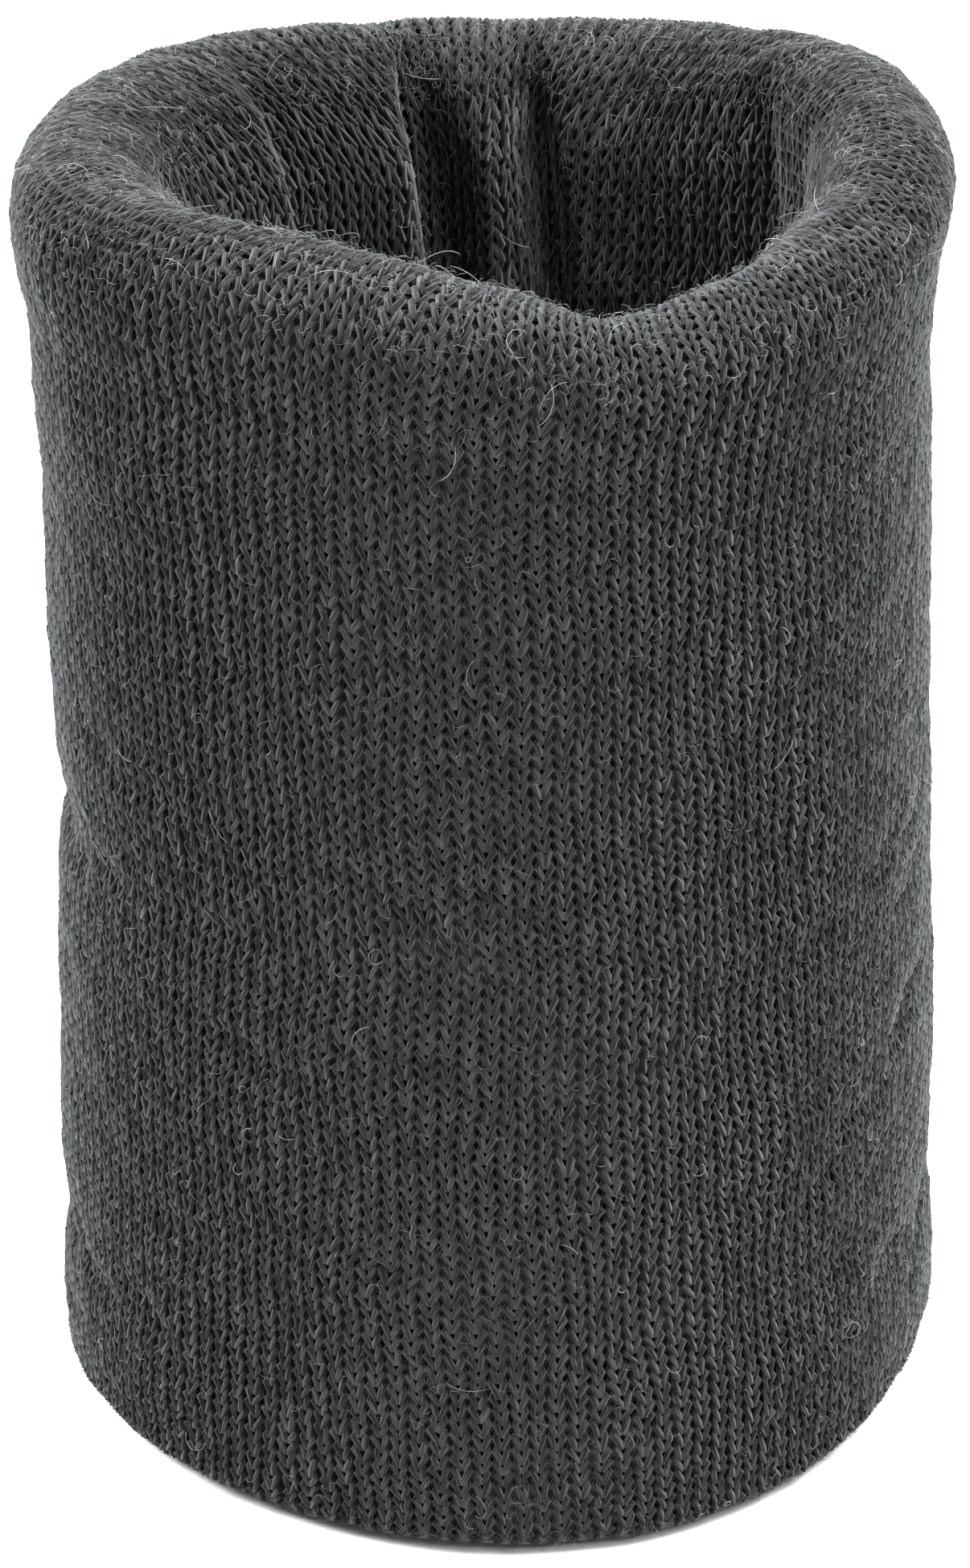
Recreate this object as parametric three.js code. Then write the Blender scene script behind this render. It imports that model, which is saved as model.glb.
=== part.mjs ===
// A sweat wristband: a knitted tube with a looped back, turned in on itself so that it makes two walls
// with the loops between them, and closed by a seam low on the inner wall. It stands on its lower edge.
// Millimetres, +Z up. The origin is the middle of the flat underside, and the hand goes in along Z.
import * as THREE from "three";

const degrees = Math.PI / 180;

// Overall sizes. Each radius is the outside of the band.
const bandHeight = 80;
const footRadius = 27;
const waistRadius = 26.1;
const rimRadius = 27.1;
const waistHeight = 58;

// The cloth, from its outer face to the middle of the wall. The inner wall mirrors it.
const knitThickness = 1.2;
const elasticDiameter = 0.5;
const pileThickness = 1.25;
const layerGap = 0.3;

// The lower edge
const footCornerRadius = 2.2;

// The closing seam on the inner wall
const seamHeight = 14;
const allowanceLength = 6;
const seamWidth = 2.6;
const seamWaves = 30;
const threadDiameter = 0.5;

// Laid-in elastic: turns round each wall
const outerElasticTurns = 8;
const liningElasticTurns = 7;

// How the soft band stands out of round. Each entry pushes out that many lobes, the first at its
// angle from +X: the foot's and the rim's lobes outwards, and the rim's lifts upwards.
const footLobes = [
  { lobes: 2, push: 1.05, angle: 32 * degrees },
  { lobes: 3, push: 1.15, angle: 48 * degrees },
];
const rimLobes = [
  { lobes: 3, push: 0.8, angle: 63 * degrees },
  { lobes: 4, push: 0.3, angle: 40 * degrees },
  { lobes: 5, push: 0.35, angle: -2 * degrees },
];
const rimLifts = [
  { lobes: 1, push: 0.65, angle: 195 * degrees },
  { lobes: 2, push: 1.3, angle: 16 * degrees },
  { lobes: 3, push: 0.65, angle: 7 * degrees },
];

// Fineness of the faceted solids. The elastic turns in the same steps as the rings round it.
const roundSegments = 40;
const wallStations = 5;
const rollArcSteps = 6;
const cornerArcSteps = 3;
const stepsPerSeamWave = 4;

// Insets of each layer from the outside of the band
const elasticInset = knitThickness + layerGap;
const pileInset = elasticInset + elasticDiameter + layerGap;
const middleInset = pileInset + pileThickness + layerGap / 2;
const wallThickness = 2 * middleInset;
const liningInset = wallThickness - knitThickness;
const liningPileInset = middleInset + layerGap / 2;

// The rolled rim is a half circle over the whole wall
const rollRadius = wallThickness / 2;
const rollHeight = bandHeight - rollRadius;
const wallTop = rollHeight - layerGap;
const wallFoot = footCornerRadius + layerGap;
const pileFoot = knitThickness + layerGap;

// The seam leaves a gap in the lining, and its raw ends hang down behind the hem
const seamTop = seamHeight + layerGap / 2;
const seamFoot = seamHeight - layerGap / 2;
const allowanceFoot = seamFoot - allowanceLength;

const charcoalKnit = { color: 0x3a3a3c, roughness: 0.95, metalness: 0 };
const liningKnit = { color: 0x343436, roughness: 0.95, metalness: 0 };
const loopPile = { color: 0x2c2c2e, roughness: 1, metalness: 0 };
const elasticCover = { color: 0x1e1e20, roughness: 0.7, metalness: 0 };
const sewingThread = { color: 0x262628, roughness: 0.6, metalness: 0 };

// Outside radius of the round band at a height: a long taper to the waist, then a flare to the rim
function smoothRadius(height) {
  const { lerp, smoothstep } = THREE.MathUtils;
  if (height < waistHeight) {
    return lerp(footRadius, waistRadius, smoothstep(height, 0, waistHeight));
  }
  return lerp(waistRadius, rimRadius, smoothstep(height, waistHeight, rollHeight));
}

// The same in straight stretches between stations, which every layer shares so that their faces are parallel
function outsideRadius(height) {
  const spacing = rollHeight / wallStations;
  const below = Math.min(Math.floor(height / spacing), wallStations - 1) * spacing;
  const share = (height - below) / spacing;
  return THREE.MathUtils.lerp(smoothRadius(below), smoothRadius(below + spacing), share);
}

// Points up the band at one inset from its outside: at both ends and at each station between them
function wallLine(inset, from, to) {
  const heights = [from];
  for (let station = 1; station < wallStations; station += 1) {
    const height = (station * rollHeight) / wallStations;
    if (height > from && height < to) heights.push(height);
  }
  heights.push(to);
  return heights.map((height) => new THREE.Vector2(outsideRadius(height) - inset, height));
}

// Points along an arc in the section of the band
function arcLine(centre, radius, fromAngle, toAngle, steps) {
  const clockwise = toAngle < fromAngle;
  const arc = new THREE.EllipseCurve(centre.x, centre.y, radius, radius, fromAngle, toAngle, clockwise);
  return arc.getPoints(steps);
}

// A full turn of a closed section round the band's axis, stood up along Z
function ringOf(section) {
  const ring = new THREE.LatheGeometry([...section, section[0]], roundSegments);
  return ring.rotateX(Math.PI / 2);
}

// A plain layer of cloth between two insets and two heights
function layerSection(inset, thickness, from, to) {
  return [...wallLine(inset, from, to), ...wallLine(inset + thickness, from, to).reverse()];
}

// The knit's turn over the top of the band
function topFoldSection() {
  const centre = new THREE.Vector2(rimRadius - rollRadius, rollHeight);
  return [
    ...arcLine(centre, rollRadius, 0, Math.PI, rollArcSteps),
    ...arcLine(centre, rollRadius - knitThickness, Math.PI, 0, rollArcSteps),
  ];
}

// The knit's turn under the band, which its weight presses flat
function bottomFoldSection() {
  const outerCorner = new THREE.Vector2(footRadius - footCornerRadius, footCornerRadius);
  const innerCorner = new THREE.Vector2(footRadius - wallThickness + footCornerRadius, footCornerRadius);
  const insideCornerRadius = footCornerRadius - knitThickness;
  const down = -Math.PI / 2;
  return [
    ...arcLine(innerCorner, footCornerRadius, -Math.PI, down, cornerArcSteps),
    ...arcLine(outerCorner, footCornerRadius, down, 0, cornerArcSteps),
    ...arcLine(outerCorner, insideCornerRadius, 0, down, cornerArcSteps),
    ...arcLine(innerCorner, insideCornerRadius, down, -Math.PI, cornerArcSteps),
  ];
}

// The loops behind each wall fill its half of the rolled rim. They widen above the last elastic.
const capCentre = new THREE.Vector2(rimRadius - rollRadius, rollHeight);
const capRadius = rollRadius - knitThickness - layerGap;
const capTopAngle = Math.acos(layerGap / 2 / capRadius);

function outerPileSection() {
  return [
    ...wallLine(pileInset, pileFoot, rollHeight),
    ...arcLine(capCentre, capRadius, 0, capTopAngle, cornerArcSteps),
    ...wallLine(pileInset + pileThickness, pileFoot, rollHeight).reverse(),
  ];
}

function liningPileSection() {
  return [
    ...wallLine(liningPileInset, seamTop, rollHeight),
    ...arcLine(capCentre, capRadius, Math.PI - capTopAngle, Math.PI, cornerArcSteps),
    ...wallLine(liningPileInset + pileThickness, seamTop, rollHeight).reverse(),
  ];
}

// A strand laid in a rising coil behind a wall
class StrandCoil extends THREE.Curve {
  constructor(inset, from, to, turns) {
    super();
    Object.assign(this, { inset, from, to, turns });
  }

  getPoint(share, target = new THREE.Vector3()) {
    const height = THREE.MathUtils.lerp(this.from, this.to, share);
    const angle = share * this.turns * 2 * Math.PI;
    const radius = outsideRadius(height) - this.inset;
    return target.set(radius * Math.cos(angle), radius * Math.sin(angle), height);
  }
}

// A thread that waves across the seam, once round the band. Its two ends stop just short of meeting.
class SeamWave extends THREE.Curve {
  constructor(inset, endGap) {
    super();
    Object.assign(this, { inset, endGap });
  }

  getPoint(share, target = new THREE.Vector3()) {
    const wave = Math.sin(share * seamWaves * 2 * Math.PI);
    const height = seamHeight + (seamWidth / 2) * wave;
    const radius = outsideRadius(height) - this.inset;
    const angle = share * (2 * Math.PI - this.endGap / radius);
    return target.set(radius * Math.cos(angle), radius * Math.sin(angle), height);
  }
}

function strandOf(path, diameter, steps) {
  const section = new THREE.Shape().absarc(0, 0, diameter / 2, 0, 2 * Math.PI);
  return new THREE.ExtrudeGeometry(section, { extrudePath: path, steps, curveSegments: 2 });
}

function elasticBehind(inset, foot, turns) {
  const clearance = layerGap + elasticDiameter / 2;
  const coil = new StrandCoil(inset, foot + clearance, wallTop - clearance, turns);
  return strandOf(coil, elasticDiameter, turns * roundSegments);
}

function seamThread() {
  const inset = liningInset - layerGap - threadDiameter / 2;
  const wave = new SeamWave(inset, 2 * threadDiameter);
  return strandOf(wave, threadDiameter, seamWaves * stepsPerSeamWave);
}

function pushAt(lobeList, direction) {
  const pushes = lobeList.map(({ lobes, push, angle }) => push * Math.cos(lobes * (direction - angle)));
  return pushes.reduce((total, push) => total + push, 0);
}

// Gives a round piece the band's soft stance. Every layer moves by the same amount, so the layers keep
// their gaps. The rim's shape fades quickly below it, and the underside stays flat.
function letStand(geometry) {
  const position = geometry.attributes.position;
  const point = new THREE.Vector3();
  for (let index = 0; index < position.count; index += 1) {
    point.fromBufferAttribute(position, index);
    const direction = Math.atan2(point.y, point.x);
    const rise = point.z / bandHeight;
    const outward = (1 - rise) * pushAt(footLobes, direction) + rise ** 4 * pushAt(rimLobes, direction);
    const spread = 1 + outward / Math.hypot(point.x, point.y);
    const lift = rise ** 2 * pushAt(rimLifts, direction);
    position.setXYZ(index, point.x * spread, point.y * spread, point.z + lift);
  }
  geometry.computeVertexNormals();
  return geometry;
}

const band = new THREE.Group();

function addPiece(name, geometry, look) {
  const piece = new THREE.Mesh(letStand(geometry), new THREE.MeshStandardMaterial(look));
  piece.name = name;
  band.add(piece);
}

const liningElasticInset = liningInset - layerGap - elasticDiameter / 2;
const liningElasticFoot = seamHeight + seamWidth / 2 + threadDiameter / 2;

addPiece("outer_wall", ringOf(layerSection(0, knitThickness, wallFoot, wallTop)), charcoalKnit);
addPiece("top_fold", ringOf(topFoldSection()), charcoalKnit);
addPiece("lining_wall", ringOf(layerSection(liningInset, knitThickness, seamTop, wallTop)), liningKnit);
addPiece("lining_hem", ringOf(layerSection(liningInset, knitThickness, wallFoot, seamFoot)), liningKnit);
addPiece("bottom_fold", ringOf(bottomFoldSection()), charcoalKnit);
addPiece("outer_pile", ringOf(outerPileSection()), loopPile);
addPiece("lining_pile", ringOf(liningPileSection()), loopPile);
addPiece(
  "lining_hem_pile",
  ringOf(layerSection(liningPileInset, pileThickness, pileFoot, allowanceFoot - layerGap)),
  loopPile,
);
addPiece(
  "seam_allowance",
  ringOf(layerSection(liningPileInset, pileThickness, allowanceFoot, seamFoot)),
  liningKnit,
);
addPiece("seam_thread", seamThread(), sewingThread);
addPiece(
  "outer_elastic",
  elasticBehind(elasticInset + elasticDiameter / 2, wallFoot, outerElasticTurns),
  elasticCover,
);
addPiece(
  "lining_elastic",
  elasticBehind(liningElasticInset, liningElasticFoot, liningElasticTurns),
  elasticCover,
);

// The origin lies under the middle of the whole band
const middle = new THREE.Box3().setFromObject(band).getCenter(new THREE.Vector3());
band.position.set(-middle.x, -middle.y, 0);

export default band;
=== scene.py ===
import bmesh
import bpy
import math
import numpy as np
from mathutils import Matrix, Vector


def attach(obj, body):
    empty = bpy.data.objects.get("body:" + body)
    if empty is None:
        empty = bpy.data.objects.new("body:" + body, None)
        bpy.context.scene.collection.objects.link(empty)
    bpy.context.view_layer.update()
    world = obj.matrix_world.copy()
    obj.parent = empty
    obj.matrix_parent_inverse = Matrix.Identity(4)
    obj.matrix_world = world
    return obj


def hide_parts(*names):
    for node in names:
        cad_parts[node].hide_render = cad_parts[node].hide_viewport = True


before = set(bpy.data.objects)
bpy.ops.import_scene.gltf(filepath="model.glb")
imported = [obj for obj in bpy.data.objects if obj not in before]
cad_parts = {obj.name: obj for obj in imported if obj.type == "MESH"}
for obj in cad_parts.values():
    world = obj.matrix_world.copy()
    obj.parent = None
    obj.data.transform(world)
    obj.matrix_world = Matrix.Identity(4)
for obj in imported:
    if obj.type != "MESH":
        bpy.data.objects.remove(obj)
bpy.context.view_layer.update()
mm = 0.001

# the band's stance, the same sizes as the CAD's, in millimetres and degrees
band = {
    "height": 80.0,
    "footRadius": 27.0,
    "waistRadius": 26.1,
    "rimRadius": 27.1,
    "waistHeight": 58.0,
    "wall": 7.4,
    "footCorner": 1.2,
    "footLobes": [(2, 1.05, 32), (3, 1.15, 48)],  # lobes, push, angle of the first
    "rimLobes": [(3, 0.8, 63), (4, 0.3, 40), (5, 0.35, -2)],
    "rimLifts": [(1, 0.65, 195), (2, 1.3, 16), (3, 0.65, 7)],
    # where the rim stands higher or lower for a short way: angle, spread, lift
    "rimDips": [(98, 24, 0.45), (-73, 9, -1.0), (-46, 20, 0.7)],
    "standsOff": 0.3,  # room for the stitches under the lower edge
    # bumps and dents of the outer wall: angle, spread, height, spread, push.
    # a spread of 400 degrees goes all the way round
    "bumps": [
        (0, 400, 76, 3.2, 0.25),
        (0, 400, 70.5, 2.4, -0.3),
        (5, 45, 79.5, 2.5, 0.2),
        (0, 45, 73.4, 1.8, -0.4),
        (0, 50, 66.5, 4.5, -0.5),
        (180, 42, 54, 9, 0.2),
        (183, 24, 38.5, 3.4, -0.55),
        (-92, 2.4, 70, 3, -0.35),
        (-59, 2.4, 34, 8, -0.25),
        (-45, 45, 1, 9, 0.6),
        (-130, 40, 1, 9, 0.6),
        (0, 30, 10, 5, -0.35),
        (180, 30, 10, 4, -0.3),
    ],
}

# the lining has more cloth than room, so it stands in vertical folds
lining = {
    "valleys": [  # angle, half width, how far it sinks
        (101, 5, 3.2), (89.5, 4, -0.9), (80, 3.4, 3.4), (27, 13, 2.3), (0, 16, 1.0),
        (178, 18, 1.3), (201, 5, 1.6), (262, 4, 2.2), (291, 6, 2.0), (345, 9, 1.2),
    ],
    # where the cloth folds over itself: angle, sharpness, run after and before, rise, overlap
    "steps": [
        (137, 2.2, 30, 13, 1.3, 1.5), (105, 2.0, 26, 9, 2.3, 4),
        (232, 2.0, 16, 24, 1.3, 0), (317, 1.8, 22, 12, 1.3, 3),
    ],
    "standsIn": 2.2,
    "thinnerRight": 1.3,  # the roll and wall are narrower on the right
    "sinksAtMost": 0.7,
    "lean": 0.32,  # degrees for each millimetre down
    "leanFrom": 71.0,
    "startsBelow": 82.5,
    "fullBelow": 71.5,
    "footFree": (1.5, 9),  # the folds begin over this height above the foot
}

knit = {
    "wales": 140,
    "wale": 1.2 * mm,
    "course": 0.87 * mm,
    "courses": {"outer": 85, "roll": 12, "lining": 68, "under": 10},
    "bandCourses": 17,
    "yarn": 0.2 * mm,
    "sides": 4,
    # a loop's left leg, from its foot to its head: shares of a wale and a course, and depth
    "leg": [(0.2, -0.68, -0.17), (0.44, -0.48, 0.09), (0.165, 0.5, 0.13), (0.25, 0.78, -0.17)],
    "faceInset": 0.3,
    "backing": 0.2,  # how far the cloth lies behind the stitches
    "backingThick": 0.3,
    "columns": 240,
    "rowSpacing": 1.4,
    "sectionRows": {"roll": 14, "under": 3, "flat": 2, "rise": 3},
}


def smooth(x, low, high):
    t = np.clip((x - low) / (high - low), 0, 1)
    return t * t * (3 - 2 * t)


def mix(a, b, share):
    return a + (b - a) * share


# ---- the shape of the band


def outsideRadius(height):
    low = mix(band["footRadius"], band["waistRadius"], smooth(height, 0, band["waistHeight"]))
    rollHeight = band["height"] - band["wall"] / 2
    high = mix(band["waistRadius"], band["rimRadius"], smooth(height, band["waistHeight"], rollHeight))
    return np.where(height < band["waistHeight"], low, high)


# how far an angle is from another, in degrees, the short way round
def degreesFrom(angle, first):
    return np.degrees(np.angle(np.exp(1j * (angle - np.radians(first)))))


def lobesAt(lobeList, angle):
    return sum(push * np.cos(lobes * (angle - math.radians(first))) for lobes, push, first in lobeList)


def bumpsAt(angle, height):
    pushed = np.zeros_like(angle)
    for first, spread, middle, tall, push in band["bumps"]:
        away = (degreesFrom(angle, first) / spread) ** 2 + ((height - middle) / tall) ** 2
        pushed = pushed + push * np.exp(-away)
    return pushed


# the folds don't run straight down but lean a little
def leanedAngle(angle, height):
    return angle + np.radians(lining["lean"]) * (lining["leanFrom"] - height)


# how far the lining stands in towards the hand
def foldsAt(angle, height):
    angle = leanedAngle(angle, height)
    inward = np.full_like(angle, lining["standsIn"])
    for first, half, depth in lining["valleys"]:
        inward = inward - depth * np.exp(-((degreesFrom(angle, first) / half) ** 2))
    for first, sharp, after, before, rise, _ in lining["steps"]:
        away = degreesFrom(angle, first)
        fading = np.exp(-np.abs(away) / np.where(away > 0, after, before))
        inward = inward + rise * np.tanh(away / sharp) * fading
    inward = foldGrowth(height) * inward
    rightSide = np.clip(np.cos(angle), 0, 1) ** 1.5
    aboveFoot = smooth(height, *lining["footFree"])
    inward = inward - lining["thinnerRight"] * rightSide * aboveFoot
    return np.maximum(inward, -lining["sinksAtMost"])


def foldGrowth(height):
    nearRim = smooth(height, lining["fullBelow"], lining["startsBelow"])
    return (1 - nearRim) * smooth(height, *lining["footFree"])


# turns the cloth just past each fold back under it
def tuckAt(angle, height):
    angle = leanedAngle(angle, height)
    tucked = np.zeros_like(angle)
    for first, sharp, _, _, _, overlap in lining["steps"]:
        away = (degreesFrom(angle, first) + 2.2 * sharp) / (1.8 * sharp)
        tucked = tucked + np.radians(overlap) * np.exp(-away * away)
    return foldGrowth(height) * tucked


# one row of the cloth's section for each step of length along it: radius, height, share of lining
def sectionRows():
    inset, wall, corner = knit["faceInset"], band["wall"], band["footCorner"]
    counts = knit["sectionRows"]
    rollHeight, roll = band["height"] - wall / 2, wall / 2 - inset
    turn = corner - inset
    rows, marks = [], {}

    def stretch(name, count, pointAt):
        marks[name] = len(rows)
        rows.extend(pointAt(step / count) for step in range(count))

    walls = round((rollHeight - corner) / knit["rowSpacing"])
    stretch("outer", walls, lambda t: wallPoint(mix(corner, rollHeight, t), inset, 0))
    middle = band["rimRadius"] - wall / 2

    def rollPoint(t):
        return arcPoint(middle, rollHeight, roll, t * math.pi, smooth(t, 0.3, 0.9))

    stretch("roll", counts["roll"], rollPoint)
    stretch("lining", walls, lambda t: wallPoint(mix(rollHeight, corner, t), wall - inset, 1))
    inner, outer = band["footRadius"] - wall + corner, band["footRadius"] - corner
    stretch("under", counts["under"], lambda t: arcPoint(inner, corner, turn, math.pi * (1 + t / 2)))
    stretch("flat", counts["flat"], lambda t: (mix(inner, outer, t), inset, 0))
    stretch("rise", counts["rise"], lambda t: arcPoint(outer, corner, turn, math.pi * (1.5 + t / 2)))
    return np.array(rows), marks


def wallPoint(height, inset, isLining):
    return (float(outsideRadius(np.float64(height))) - inset, height, isLining)


def arcPoint(centre, height, radius, angle, isLining=0):
    return (centre + radius * math.cos(angle), height + radius * math.sin(angle), isLining)


# what the off-round stance has to be moved by to stand in the middle, as the CAD's does
centring = np.array((0.74, 0.07, 0))


# takes round points to where the soft band has them
def letStand(places, isLining):
    angle = np.arctan2(places[:, 1], places[:, 0])
    radius = np.hypot(places[:, 0], places[:, 1])
    height = places[:, 2]
    rise = height / band["height"]
    outward = (1 - rise) * lobesAt(band["footLobes"], angle)
    outward = outward + rise**4 * lobesAt(band["rimLobes"], angle)
    outward = outward - isLining * foldsAt(angle, height)
    outward = outward + (1 - isLining) * bumpsAt(angle, height)
    lifted = height + rise**2 * lobesAt(band["rimLifts"], angle)
    for first, spread, lift in band["rimDips"]:
        lifted = lifted + rise**4 * lift * np.exp(-((degreesFrom(angle, first) / spread) ** 2))
    lifted = lifted + band["standsOff"] * (1 - smooth(height, 0, 5))
    spread = radius + outward
    angle = angle + isLining * tuckAt(angle, height)
    return np.stack([spread * np.cos(angle), spread * np.sin(angle), lifted], -1)


def getPlaces(mesh):
    places = np.empty(len(mesh.vertices) * 3)
    mesh.vertices.foreach_get("co", places)
    return places.reshape(-1, 3)


def setPlaces(mesh, places):
    places[:, 2] = np.maximum(places[:, 2], 0)  # the floor presses flat what would go into it
    mesh.vertices.foreach_set("co", np.ascontiguousarray(places, dtype=np.float32).ravel())
    mesh.update()


def addPiece(name, mesh, material, smoothFaces=True):
    piece = bpy.data.objects.new(name, mesh)
    bpy.context.scene.collection.objects.link(piece)
    mesh.materials.clear()
    mesh.materials.append(material)
    mesh.shade_smooth() if smoothFaces else mesh.shade_flat()
    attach(piece, "root")
    return piece


# ---- the cloth that carries the stitches

settle = {
    "columns": 96,
    "scale": 20,  # the cloth settles at this many times its size
    "frames": 16,
    "grows": 0.015,
    "pressure": 0.8,
    "hold": 0.25,
    "pinStiffness": 1.0,
    "quality": 5,
    "mass": 0.2,
    "bending": 0.4,
    "footHeight": 3,
    "cap": 0.2,
}


def spinCloth(rows, columns):
    bm = bmesh.new()
    rowLayer = bm.verts.layers.float.new("row")
    ring = []
    for index, (radius, height, _) in enumerate(rows):
        vert = bm.verts.new((radius, 0, height))
        vert[rowLayer] = index
        ring.append(vert)
    edges = [bm.edges.new((ring[i - 1], ring[i])) for i in range(len(ring))]
    bmesh.ops.spin(bm, geom=ring + edges, axis=(0, 0, 1), angle=math.tau, steps=columns, use_merge=True)
    bmesh.ops.recalc_face_normals(bm, faces=bm.faces)
    mesh = bpy.data.meshes.new("clothForm")
    bm.to_mesh(mesh)
    bm.free()
    return mesh


# where each vertex of the spun cloth lies in the grid of rows and columns
def gridOrder(mesh, places, columns):
    row = np.empty(len(mesh.vertices), dtype=np.float32)
    mesh.attributes["row"].data.foreach_get("value", row)
    turn = np.arctan2(places[:, 1], places[:, 0]) / math.tau * columns
    return np.round(row).astype(int), np.round(turn).astype(int) % columns


def makeClothForm(rows, columns):
    mesh = spinCloth(rows, columns)
    places = getPlaces(mesh)
    order = gridOrder(mesh, places, columns)
    stood = letStand(places, rows[order[0], 2])
    setPlaces(mesh, (stood + centring) * mm)
    return mesh, order


def gridOf(places, order, rowCount, columns):
    grid = np.zeros((rowCount, columns, 3))
    grid[order] = places
    return grid


# lets a coarse copy of the cloth give a little, as Cloth, and tells how far each point moved
def settleCloth(rows):
    columns = settle["columns"]
    mesh, order = makeClothForm(rows, columns)
    before = getPlaces(mesh)
    setPlaces(mesh, before * settle["scale"])
    soft = bpy.data.objects.new("settling", mesh)
    bpy.context.scene.collection.objects.link(soft)
    held = soft.vertex_groups.new(name="held")
    for index, height in enumerate(before[:, 2] / mm):
        held.add([index], 1 if height < settle["footHeight"] else settle["hold"], "REPLACE")
    cloth = soft.modifiers.new("cloth", "CLOTH")
    cloth.settings.quality = settle["quality"]
    cloth.settings.mass = settle["mass"]
    cloth.settings.bending_stiffness = settle["bending"]
    cloth.settings.vertex_group_mass = "held"
    cloth.settings.pin_stiffness = settle["pinStiffness"]
    cloth.settings.shrink_min = -settle["grows"]
    cloth.settings.use_pressure = True
    cloth.settings.uniform_pressure_force = settle["pressure"]
    cloth.settings.effector_weights.gravity = 0
    cloth.collision_settings.use_collision = False
    scene = bpy.context.scene
    for number in range(1, settle["frames"] + 1):
        scene.frame_set(number)
    ready = soft.evaluated_get(bpy.context.evaluated_depsgraph_get())
    moved = getPlaces(ready.data) / settle["scale"] - before
    bpy.data.objects.remove(soft)
    scene.frame_set(1)
    far = np.linalg.norm(moved, axis=1, keepdims=True)
    moved = moved * np.minimum(1, settle["cap"] * mm / np.maximum(far, 1e-9))
    moved = moved * smooth(before[:, 2:] / mm, 0.5, 6)
    print(f"band: settled by {far.mean() / mm:.2f} mm, at most {far.max() / mm:.2f}")
    return gridOf(moved, order, len(rows), columns)


# spaces each row's points evenly along it, beginning at the back
def spaceEvenly(grid, count):
    start = grid.shape[1] // 4
    rolled = np.roll(grid, -start, axis=1)
    closed = np.concatenate([rolled, rolled[:, :1]], axis=1)
    lengths = np.linalg.norm(np.diff(closed, axis=1), axis=2)
    evened = np.empty((len(grid), count, 3))
    for row in range(len(grid)):
        run = np.concatenate([[0], np.cumsum(lengths[row])])
        wanted = np.arange(count) / count * run[-1]
        for axis in range(3):
            evened[row, :, axis] = np.interp(wanted, run, closed[row, :, axis])
    return evened


def cubicWeights(t):
    a = -0.5 * t + t**2 - 0.5 * t**3
    b = 1 - 2.5 * t**2 + 1.5 * t**3
    c = 0.5 * t + 2 * t**2 - 1.5 * t**3
    return np.stack([a, b, c, -0.5 * t**2 + 0.5 * t**3], -1)


def cubicSlopes(t):
    a = -0.5 + 2 * t - 1.5 * t**2
    b = -5 * t + 4.5 * t**2
    c = 0.5 + 4 * t - 4.5 * t**2
    return np.stack([a, b, c, -t + 1.5 * t**2], -1)


# points on the cloth, and the way its face looks there, for places across and along it
def onCloth(grid, across, along):
    rows, columns = grid.shape[:2]
    u, v = across % 1.0 * columns, along % rows
    u0, v0 = np.floor(u).astype(int), np.floor(v).astype(int)
    wu, wv = cubicWeights(u - u0), cubicWeights(v - v0)
    su, sv = cubicSlopes(u - u0), cubicSlopes(v - v0)
    place, alongU, alongV = (np.zeros((len(u), 3)) for _ in range(3))
    for j in range(4):
        for i in range(4):
            corner = grid[(v0 + j - 1) % rows, (u0 + i - 1) % columns]
            place += (wu[:, i] * wv[:, j])[:, None] * corner
            alongU += (su[:, i] * wv[:, j])[:, None] * corner
            alongV += (wu[:, i] * sv[:, j])[:, None] * corner
    normal = np.cross(alongU, alongV)
    normal /= np.maximum(np.linalg.norm(normal, axis=1), 1e-12)[:, None]
    return place, normal


# soft random values, one for each stitch, that run into each other
def unevenness(seed, across, along, cellsAcross, cellsAlong):
    table = np.random.default_rng(seed).standard_normal((cellsAlong, cellsAcross))
    x0, y0 = np.floor(across).astype(int), np.floor(along).astype(int)
    tx, ty = smooth(across - x0, 0, 1), smooth(along - y0, 0, 1)

    def cell(dx, dy):
        return table[(y0 + dy) % cellsAlong, (x0 + dx) % cellsAcross]

    low = mix(cell(0, 0), cell(1, 0), tx)
    return mix(low, mix(cell(0, 1), cell(1, 1), tx), ty)


# ---- stitches


# one stitch of yarn: a short tube extruded from ring to ring round the loop
def makeStitch():
    bm = bmesh.new()
    alongLayer = bm.verts.layers.float.new("along")
    aroundLayer = bm.verts.layers.float.new("around")
    made = bmesh.ops.create_circle(bm, segments=knit["sides"], radius=knit["yarn"])
    for index, vert in enumerate(made["verts"]):
        vert[aroundLayer] = index / knit["sides"]
    before = Matrix.Identity(4)
    ring = list({edge for vert in made["verts"] for edge in vert.link_edges})
    verts = made["verts"]
    steps = 2 * len(knit["leg"])
    for step in range(steps + 1):
        if step:
            grown = bmesh.ops.extrude_edge_only(bm, edges=ring)["geom"]
            ring = [item for item in grown if isinstance(item, bmesh.types.BMEdge)]
            verts = [item for item in grown if isinstance(item, bmesh.types.BMVert)]
        after = loopFrame(step)
        bmesh.ops.transform(bm, matrix=after @ before.inverted(), verts=verts)
        before = after
        for vert in verts:
            vert[alongLayer] = step / steps
    bmesh.ops.recalc_face_normals(bm, faces=bm.faces)
    mapStitch(bm, alongLayer, aroundLayer)
    mesh = bpy.data.meshes.new("stitch")
    bm.to_mesh(mesh)
    bm.free()
    return mesh


# the loop's points, left leg up and right leg down, and on into the next stitch
def loopPoint(step):
    leg = knit["leg"]
    wale, place = divmod(step, 2 * len(leg))
    isRight = place >= len(leg)
    x, y, z = leg[2 * len(leg) - 1 - place] if isRight else leg[place]
    x = wale + (1 - x if isRight else x)
    return Vector((x * knit["wale"], y * knit["course"], z * mm))


def loopFrame(step):
    ahead = loopPoint(step + 1) - loopPoint(step - 1)
    return Matrix.Translation(loopPoint(step)) @ ahead.to_track_quat("Z", "Y").to_matrix().to_4x4()


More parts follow.
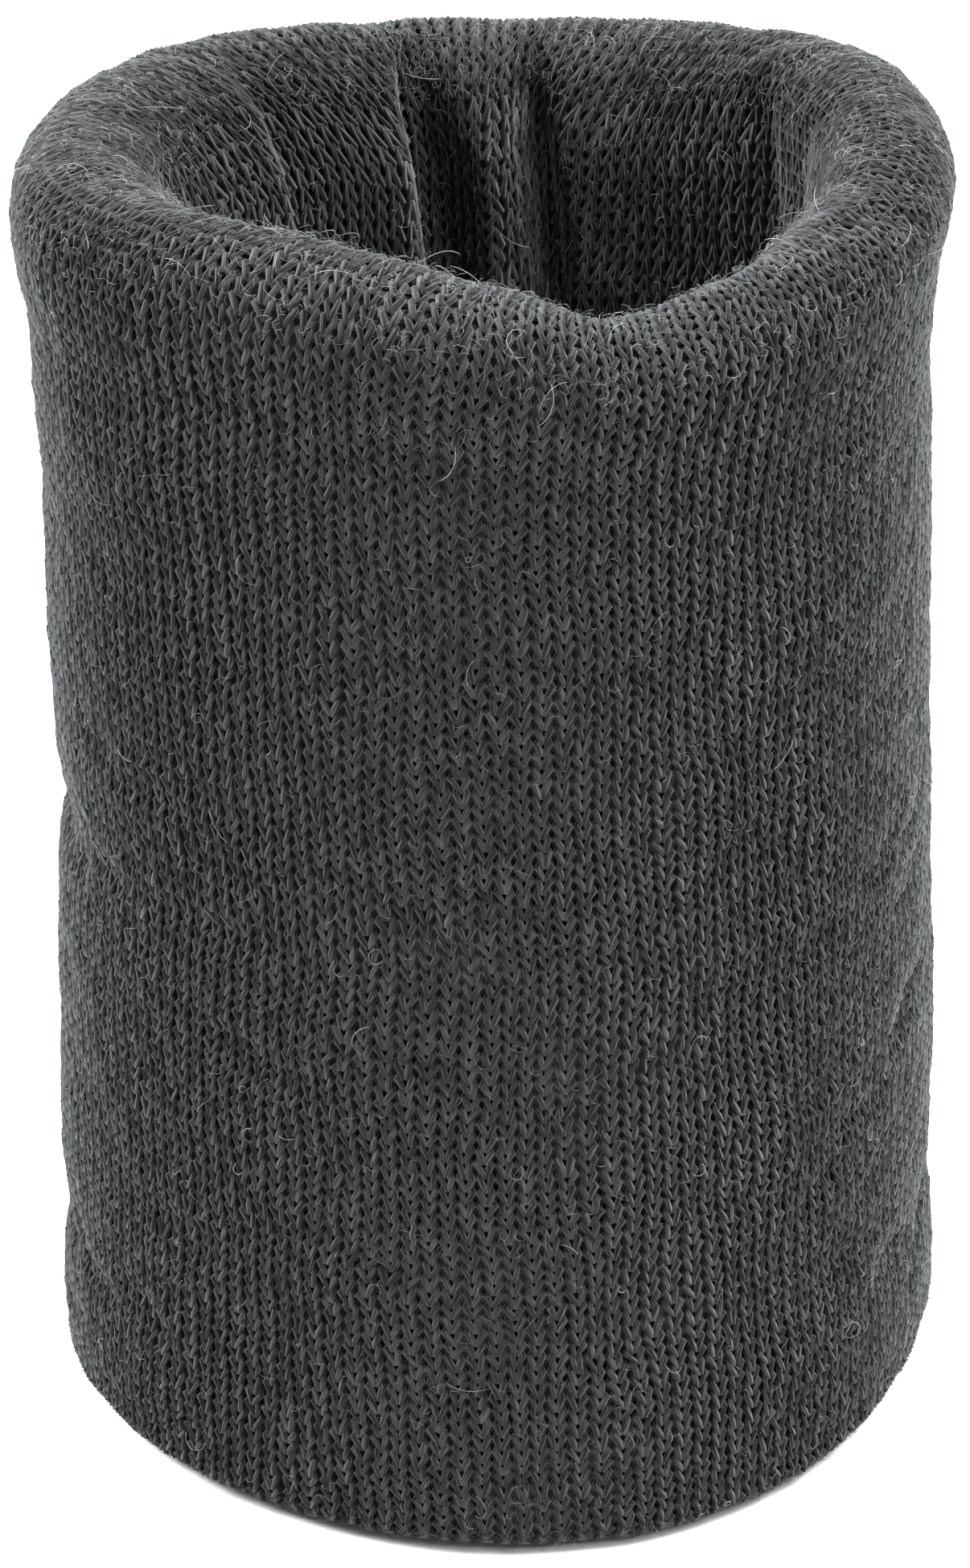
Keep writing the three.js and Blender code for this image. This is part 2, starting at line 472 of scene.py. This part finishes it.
# each stitch has its own cell of the map: round the yarn across the cell, along the yarn up it
def mapStitch(bm, alongLayer, aroundLayer):
    for name in ("yarnMap", "OFBake"):
        layer = bm.loops.layers.uv.new(name)
        for face in bm.faces:
            arounds = [loop.vert[aroundLayer] for loop in face.loops]
            wraps = max(arounds) - min(arounds) > 0.5
            for loop, around in zip(face.loops, arounds):
                if wraps and around < 0.5:
                    around += 1
                u = (0.05 + 0.9 * around) / knit["wales"]
                v = (0.03 + 0.94 * loop.vert[alongLayer]) / knit["bandCourses"]
                loop[layer].uv = (u, v)


# lays stitches side by side and course over course, still flat
def layFlat(stitch, courses):
    flat = bpy.data.objects.new("flatKnit", stitch)
    bpy.context.scene.collection.objects.link(flat)
    wales = flat.modifiers.new("wales", "ARRAY")
    wales.count = knit["wales"]
    wales.use_relative_offset = False
    wales.use_constant_offset = True
    wales.constant_offset_displace = (knit["wale"], 0, 0)
    wales.use_merge_vertices = True
    wales.merge_threshold = 1e-6
    wales.offset_u = 1 / knit["wales"]
    rising = flat.modifiers.new("courses", "ARRAY")
    rising.count = courses
    rising.use_relative_offset = False
    rising.use_constant_offset = True
    rising.constant_offset_displace = (0, knit["course"], 0)
    rising.offset_v = 1 / knit["bandCourses"]
    ready = flat.evaluated_get(bpy.context.evaluated_depsgraph_get())
    mesh = bpy.data.meshes.new_from_object(ready)
    bpy.data.objects.remove(flat)
    return mesh


# which row of the cloth each course crosses
def coursePath(marks, rowCount):
    counts = knit["courses"]
    outer = counts["outer"]
    roll = outer + counts["roll"]
    lined = roll + counts["lining"]
    total = lined + counts["under"]
    rows = [marks["outer"], marks["roll"], marks["lining"], marks["under"], rowCount]
    courses = [0, outer, roll, lined, total]
    return np.array(courses, float), np.array(rows, float)


# how unevenly the stitches lie: seed, stitches across and along for one change, how much
uneven = {
    "across": [(11, 1, 1, 0.075), (12, 4, 9, 0.2)],  # in wales
    "along": [(13, 1, 1, 0.085), (14, 5, 7, 0.24)],  # in courses
    "lift": [(15, 1, 1, 0.05), (16, 4, 5, 0.05)],  # in millimetres
}


# each change is added before the next is looked up, so that they don't line up
def wrapKnit(mesh, firstCourse, cloth, path):
    places = getPlaces(mesh)
    across = places[:, 0] / knit["wale"]
    along = places[:, 1] / knit["course"] + firstCourse + 0.5
    total = int(path[0][-1])
    wales = knit["wales"]

    def change(seed, acrossStep, alongStep, amount):
        cells = (wales // acrossStep, total // alongStep)
        return amount * unevenness(seed, across / acrossStep, along / alongStep, *cells)

    for setting in uneven["across"]:
        across = across + change(*setting)
    for setting in uneven["along"]:
        along = along + change(*setting)
    lift = places[:, 2]
    for setting in uneven["lift"]:
        lift = lift + mm * change(*setting)
    rows = np.interp(along % total, path[0], path[1])
    place, normal = onCloth(cloth, across / wales, rows)
    setPlaces(mesh, place + normal * lift[:, None])


def closeRound(mesh):
    bm = bmesh.new()
    bm.from_mesh(mesh)
    ends = [vert for vert in bm.verts if vert.is_boundary]
    bmesh.ops.remove_doubles(bm, verts=ends, dist=1e-6)
    bm.to_mesh(mesh)
    bm.free()


# ---- materials


def newMaterial(name, roughness, sheen=0.0, sheenTint=(1, 1, 1, 1)):
    material = bpy.data.materials.new(name)
    material.use_nodes = True
    shader = material.node_tree.nodes["Principled BSDF"]
    shader.inputs["Roughness"].default_value = roughness
    shader.inputs["Specular IOR Level"].default_value = 0.12
    shader.inputs["Sheen Weight"].default_value = sheen
    shader.inputs["Sheen Roughness"].default_value = 0.45
    shader.inputs["Sheen Tint"].default_value = sheenTint
    return material, material.node_tree, shader


def addNode(tree, kind, inputs=None, **settings):
    node = tree.nodes.new(kind)
    for key, value in settings.items():
        setattr(node, key, value)
    for key, value in (inputs or {}).items():
        if isinstance(value, bpy.types.NodeSocket):
            tree.links.new(value, node.inputs[key])
        else:
            node.inputs[key].default_value = value
    return node


def addRamp(tree, factor, stops):
    ramp = addNode(tree, "ShaderNodeValToRGB", {"Fac": factor})
    while len(ramp.color_ramp.elements) < len(stops):
        ramp.color_ramp.elements.new(0.5)
    for element, (position, colour) in zip(ramp.color_ramp.elements, stops):
        element.position = position
        element.color = (*colour, 1)
    return ramp.outputs["Color"]


def yarnMaterial(name, dark, light, sheen):
    material, tree, shader = newMaterial(name, 0.9, sheen, (0.88, 0.96, 1, 1))
    coords = addNode(tree, "ShaderNodeTexCoord").outputs["Object"]
    yarnCoords = addNode(tree, "ShaderNodeUVMap", uv_map="yarnMap").outputs["UV"]
    # fibres run along the yarn and lean round it with the twist
    stretched = (knit["wales"] * 15, knit["bandCourses"] * 5, 1)
    along = addNode(
        tree, "ShaderNodeMapping",
        {"Vector": yarnCoords, "Rotation": (0, 0, 0.25), "Scale": stretched},
    )
    drift = addNode(tree, "ShaderNodeVectorMath", {0: coords, "Scale": 60.0}, operation="SCALE")
    moved = addNode(
        tree, "ShaderNodeVectorMath", {0: along.outputs["Vector"], 1: drift.outputs[0]}, operation="ADD"
    )
    fibres = addNode(
        tree, "ShaderNodeTexNoise",
        {"Vector": moved.outputs[0], "Scale": 1.0, "Detail": 2, "Roughness": 0.6},
    )
    patches = addNode(tree, "ShaderNodeTexNoise", {"Vector": coords, "Scale": 900, "Detail": 2})
    shade = addNode(
        tree, "ShaderNodeMix",
        {0: 0.18, 2: fibres.outputs["Fac"], 3: patches.outputs["Fac"]},
        data_type="FLOAT",
    )
    brightest = tuple(part * 4 for part in light)
    colour = addRamp(tree, shade.outputs[0], [(0.4, dark), (0.5, light), (0.62, brightest)])
    tree.links.new(colour, shader.inputs["Base Color"])
    addBump(tree, shader, fibres.outputs["Fac"], 0.7, 0.05)
    return material


def backingMaterial():
    material, tree, shader = newMaterial("clothBack", 1.0, 0.1)
    coords = addNode(tree, "ShaderNodeTexCoord").outputs["Object"]
    grain = addNode(tree, "ShaderNodeTexNoise", {"Vector": coords, "Scale": 1800, "Detail": 2})
    stops = [(0.35, (0.012, 0.012, 0.0125)), (0.7, (0.034, 0.034, 0.035))]
    colour = addRamp(tree, grain.outputs["Fac"], stops)
    tree.links.new(colour, shader.inputs["Base Color"])
    addBump(tree, shader, grain.outputs["Fac"], 0.6, 0.1)
    return material


# ---- the pieces


def makeBacking(form, material):
    bm = bmesh.new()
    bm.from_mesh(form)
    bmesh.ops.recalc_face_normals(bm, faces=bm.faces)
    bm.normal_update()
    for vert in bm.verts:
        vert.co -= vert.normal * knit["backing"] * mm
    mesh = bpy.data.meshes.new("knittedCloth")
    bm.to_mesh(mesh)
    bm.free()
    backing = addPiece("knitted_cloth", mesh, material)
    thick = backing.modifiers.new("thickness", "SOLIDIFY")
    thick.thickness = knit["backingThick"] * mm
    thick.offset = -1
    return backing


def makeKnit(cloth, marks, yarn, liningYarnPaintedLighter):
    path = coursePath(marks, len(cloth))
    stitch = makeStitch()
    counts = knit["courses"]
    flats = {}
    made = []
    first = 0
    for stretch, total in counts.items():
        bands = max(1, round(total / knit["bandCourses"]))
        for number in range(bands):
            courses = total // bands
            if courses not in flats:
                flats[courses] = layFlat(stitch, courses)
            mesh = flats[courses].copy()
            wrapKnit(mesh, first, cloth, path)
            closeRound(mesh)
            name = f"{stretch}_stitches" + (f"_{number + 1}" if bands > 1 else "")
            made.append(addPiece(name, mesh, liningYarnPaintedLighter if stretch == "lining" else yarn))
            first += courses
    return made


# ---- what lies between the walls

# each layer's insets from the outside and its foot and top, as in the CAD
layers = {
    "outer_terry": {"node": "outer_pile", "insets": (2.3, 3.55), "heights": (1.5, 76.0)},
    "lining_terry": {"node": "lining_pile", "insets": (3.85, 5.1), "heights": (14.15, 76.0)},
    "hem_terry": {"node": "lining_hem_pile", "insets": (3.85, 5.1), "heights": (1.5, 7.55)},
    "seam_ends": {"node": "seam_allowance", "insets": (3.85, 5.1), "heights": (7.85, 13.85)},
}
terry = {"columns": 150, "spacing": 1.1, "lumps": 0.11}


def layerRows(insets, heights):
    count = max(3, round((heights[1] - heights[0]) / terry["spacing"]))
    rising = np.linspace(*heights, count)
    outside = outsideRadius(rising)
    up = [(radius - insets[0], height, 0) for radius, height in zip(outside, rising)]
    down = [(radius - insets[1], height, 0) for radius, height in zip(outside, rising)]
    return np.array(up + down[::-1])


def makeLayer(name, layer, seed, material):
    layered = layerRows(layer["insets"], layer["heights"])
    mesh = spinCloth(layered, terry["columns"])
    evenPlaces = getPlaces(mesh)
    lumps = np.random.default_rng(seed).uniform(-1, 1, len(evenPlaces)) * terry["lumps"]
    angle = np.arctan2(evenPlaces[:, 1], evenPlaces[:, 0])
    radius = np.hypot(evenPlaces[:, 0], evenPlaces[:, 1]) + lumps
    lumpy = np.stack([radius * np.cos(angle), radius * np.sin(angle), evenPlaces[:, 2]], -1)
    setPlaces(mesh, (letStand(lumpy, np.zeros(len(lumpy))) + centring) * mm)
    piece = addPiece(name, mesh, material)
    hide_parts(layer["node"])
    return piece


def terryMaterial():
    material, tree, shader = newMaterial("terryLoops", 1.0, 0.2)
    coords = addNode(tree, "ShaderNodeTexCoord").outputs["Object"]
    loops = addNode(tree, "ShaderNodeTexVoronoi", {"Vector": coords, "Scale": 900}, feature="SMOOTH_F1")
    stops = [(0.1, (0.04, 0.04, 0.042)), (0.7, (0.01, 0.01, 0.011))]
    colour = addRamp(tree, loops.outputs["Distance"], stops)
    tree.links.new(colour, shader.inputs["Base Color"])
    addBump(tree, shader, loops.outputs["Distance"], 0.8, -0.3)
    return material


# a yarn wound in fine turns round a core: the elastic's cover, and the seam's thread
def woundMaterial(name, dark, light, turns, roughness):
    material, tree, shader = newMaterial(name, roughness, 0.1)
    coords = addNode(tree, "ShaderNodeTexCoord").outputs["Object"]
    wound = addNode(
        tree, "ShaderNodeTexWave",
        {"Vector": coords, "Scale": turns, "Distortion": 1.5, "Detail": 1},
        bands_direction="DIAGONAL",
    )
    colour = addRamp(tree, wound.outputs["Fac"], [(0.2, dark), (0.8, light)])
    tree.links.new(colour, shader.inputs["Base Color"])
    addBump(tree, shader, wound.outputs["Fac"], 0.6, 0.05)
    return material


def addBump(tree, shader, height, strength, distance):
    bump = addNode(
        tree, "ShaderNodeBump",
        {"Height": height, "Strength": strength, "Distance": abs(distance) * mm},
        invert=distance < 0,
    )
    tree.links.new(bump.outputs["Normal"], shader.inputs["Normal"])


def finishNode(name, material):
    for slot in bpy.data.objects[name].material_slots:
        slot.material = material


# ---- loose fibres

fuzz = {
    "count": 15500,
    "length": (0.45, 1.55),
    "radius": 0.011,
    "rise": 0.7,  # how steeply a fibre leaves the yarn
    "curl": 0.95,
    "rings": 2,
}
hairs = {
    "count": 420,
    "length": (1.0, 3.2),
    "radius": 0.013,
    "rise": 0.8,
    "curl": 1.3,
    "rings": 7,
}
rollShare = 0.3  # of the fibres grow on the roll


# a closed fibre with a point at each end, as many times over as there are fibres
def layFibres(style):
    bm = bmesh.new()
    made = bmesh.ops.create_cone(
        bm, cap_ends=False, segments=3, radius1=0, radius2=style["radius"] * mm, depth=1
    )
    ring = sorted(made["verts"], key=lambda vert: vert.co.z)[-3:]
    bmesh.ops.translate(bm, vec=(0, 0, 0.5), verts=bm.verts)
    edges = [edge for edge in bm.edges if all(vert in ring for vert in edge.verts)]
    for step in range(style["rings"]):
        grown = bmesh.ops.extrude_edge_only(bm, edges=edges)["geom"]
        edges = [item for item in grown if isinstance(item, bmesh.types.BMEdge)]
        ring = [item for item in grown if isinstance(item, bmesh.types.BMVert)]
        bmesh.ops.translate(bm, vec=(0, 0, 1), verts=ring)
    bmesh.ops.pointmerge(bm, verts=ring, merge_co=(0, 0, style["rings"] + 1))
    bmesh.ops.remove_doubles(bm, verts=bm.verts, dist=1e-7)
    bmesh.ops.recalc_face_normals(bm, faces=bm.faces)
    mesh = bpy.data.meshes.new("fibre")
    bm.to_mesh(mesh)
    bm.free()
    return repeatMesh(mesh, style["count"])


def repeatMesh(mesh, count):
    rows = bpy.data.objects.new("fibres", mesh)
    bpy.context.scene.collection.objects.link(rows)
    repeat = rows.modifiers.new("repeat", "ARRAY")
    repeat.count = count
    repeat.use_relative_offset = False  # the copies lie in one place until they are grown
    ready = rows.evaluated_get(bpy.context.evaluated_depsgraph_get())
    repeated = bpy.data.meshes.new_from_object(ready)
    bpy.data.objects.remove(rows)
    return repeated


def unit(vectors):
    return vectors / np.maximum(np.linalg.norm(vectors, axis=-1, keepdims=True), 1e-12)


# scatters the fibres over the cloth, each rooted in the yarn and curling away
def growFibres(name, style, cloth, marks, seed, material):
    draw = np.random.default_rng(seed)
    count = style["count"]
    mesh = layFibres(style)
    places = getPlaces(mesh).reshape(count, -1, 3)
    share = places[:, :, 2:] / (style["rings"] + 1)
    across = draw.random(count)
    onRoll = mix(marks["roll"], marks["lining"], draw.random(count))
    along = np.where(draw.random(count) < rollShare, onRoll, draw.random(count) * len(cloth))
    root, outward = onCloth(cloth, across, along)
    side = unit(np.cross(outward, draw.standard_normal((count, 3))))
    other = np.cross(outward, side)
    length = draw.uniform(*style["length"], count) * mm
    heading = unit(side + outward * (style["rise"] * draw.random(count))[:, None])
    bend = style["curl"] * draw.standard_normal(count)
    turn = share * bend[:, None, None] * math.pi
    path = heading[:, None] * np.sin(turn) + other[:, None] * (1 - np.cos(turn))
    path = path / np.where(np.abs(bend) < 0.05, 0.05, bend)[:, None, None] / math.pi
    path = path + outward[:, None] * (share * (1 - share) * 0.5 * draw.random(count)[:, None, None])
    root = root + outward * (draw.uniform(0.12, 0.34, count) * mm)[:, None]
    sideways = other[:, None] * np.cos(turn) - heading[:, None] * np.sin(turn)
    thick = sideways * places[:, :, :1] + outward[:, None] * places[:, :, 1:2]
    setPlaces(mesh, (root[:, None] + path * length[:, None, None] + thick).reshape(-1, 3))
    return addPiece(name, mesh, material)


def fibreMaterial(name, colour, light):
    material, tree, shader = newMaterial(name, 0.7, 0.3)
    coords = addNode(tree, "ShaderNodeTexCoord").outputs["Object"]
    change = addNode(tree, "ShaderNodeTexNoise", {"Vector": coords, "Scale": 500, "Detail": 1})
    shade = addRamp(tree, change.outputs["Fac"], [(0.35, colour), (0.7, light)])
    tree.links.new(shade, shader.inputs["Base Color"])
    return material


print("band: shaping the cloth")
rows, marks = sectionRows()
form, order = makeClothForm(rows, knit["columns"])
moved = settleCloth(rows)
formPlaces = getPlaces(form)
formPlaces += onCloth(moved, order[1] / knit["columns"], order[0].astype(float))[0]
setPlaces(form, formPlaces)
grid = gridOf(getPlaces(form), order, len(rows), knit["columns"])
cloth = spaceEvenly(grid, 3 * knit["wales"])

print("band: knitting")
yarn = yarnMaterial("charcoalYarn", (0.0026, 0.0026, 0.0027), (0.0122, 0.0122, 0.0122), 0.18)
# the lining is the same charcoal yarn given a lighter colour: painted light for the shaded inside of
# the band
liningYarnPaintedLighter = yarnMaterial("liningYarnPaintedLighter", (0.0035, 0.0035, 0.0036), (0.021, 0.0211, 0.0211), 0.22)
backing = makeBacking(form, backingMaterial())
stitches = makeKnit(cloth, marks, yarn, liningYarnPaintedLighter)
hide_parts("outer_wall", "top_fold", "lining_wall", "lining_hem", "bottom_fold")
print("band: between the walls")
terryLoops = terryMaterial()
for number, (name, layer) in enumerate(layers.items()):
    makeLayer(name, layer, 41 + number, terryLoops)
coveredElastic = woundMaterial(
    "coveredElastic", (0.008, 0.008, 0.009), (0.024, 0.024, 0.026), 2600, 0.6
)
for name in ("outer_elastic", "lining_elastic"):
    finishNode(name, coveredElastic)
seamThread = woundMaterial("seamThread", (0.012, 0.012, 0.013), (0.035, 0.035, 0.037), 3400, 0.5)
finishNode("seam_thread", seamThread)

print("band: fibres")
# the fuzz is the same charcoal yarn coloured light grey: painted sheen for the light the loose fibres
# catch
fuzzFibrePaintedSheen = fibreMaterial("fuzzFibrePaintedSheen", (0.05, 0.052, 0.053), (0.25, 0.26, 0.26))
haze = growFibres("fuzz", fuzz, cloth, marks, 31, fuzzFibrePaintedSheen)
strayFibre = fibreMaterial("strayFibre", (0.16, 0.165, 0.165), (0.42, 0.42, 0.4))
stray = growFibres("stray_hairs", hairs, cloth, marks, 32, strayFibre)

# ---- floor, light and camera

studio = {
    "floorSize": 3,
    "floorColour": (0.86, 0.86, 0.86, 1),
    "worldStrength": 0.34,
    "lights": [  # name, place in metres, size, power
        ("frontSoft", (0.55, -0.55, 0.7), 0.35, 3.5),
        ("topSoft", (0.1, -0.05, 0.9), 0.6, 10),
        ("leftSoft", (-0.75, 0.25, 0.6), 0.6, 29),
        ("rightSoft", (0.58, 0.1, 0.82), 0.6, 24),
    ],
    "lightTarget": (0, 0, 0.04),
}
viewpoint = {
    "place": (-0.3, -303.4, 191.05),  # millimetres
    "down": 26.78,
    "tilt": 1.33,
    "lens": 127.5,
    "sensor": 36,
}


def makeStudio():
    bm = bmesh.new()
    bmesh.ops.create_grid(bm, x_segments=1, y_segments=1, size=studio["floorSize"])
    mesh = bpy.data.meshes.new("floor")
    bm.to_mesh(mesh)
    bm.free()
    floor = bpy.data.objects.new("floor", mesh)
    bpy.context.scene.collection.objects.link(floor)
    material, tree, shader = newMaterial("paleFloor", 0.8)
    shader.inputs["Base Color"].default_value = studio["floorColour"]
    mesh.materials.append(material)
    world = bpy.data.worlds.new("studio")
    world.use_nodes = True
    background = world.node_tree.nodes["Background"]
    background.inputs["Color"].default_value = (1, 1, 1, 1)
    background.inputs["Strength"].default_value = studio["worldStrength"]
    bpy.context.scene.world = world
    bpy.context.scene.view_settings.view_transform = "Standard"


def addLight(name, place, size, power):
    data = bpy.data.lights.new(name, "AREA")
    data.size = size
    data.energy = power
    light = bpy.data.objects.new(name, data)
    light.location = place
    aim = Vector(studio["lightTarget"]) - Vector(place)
    light.rotation_euler = aim.to_track_quat("-Z", "Y").to_euler()
    bpy.context.scene.collection.objects.link(light)


def makeCamera():
    data = bpy.data.cameras.new("camera")
    data.lens = viewpoint["lens"]
    data.sensor_width = viewpoint["sensor"]
    camera = bpy.data.objects.new("camera", data)
    camera.location = [part * mm for part in viewpoint["place"]]
    down, tilt = math.radians(viewpoint["down"]), math.radians(viewpoint["tilt"])
    turn = Matrix.Rotation(math.radians(90) - down, 4, "X") @ Matrix.Rotation(-tilt, 4, "Z")
    camera.rotation_euler = turn.to_euler()
    bpy.context.scene.collection.objects.link(camera)
    bpy.context.scene.camera = camera


print("band: studio")
makeStudio()
for light in studio["lights"]:
    addLight(*light)
makeCamera()
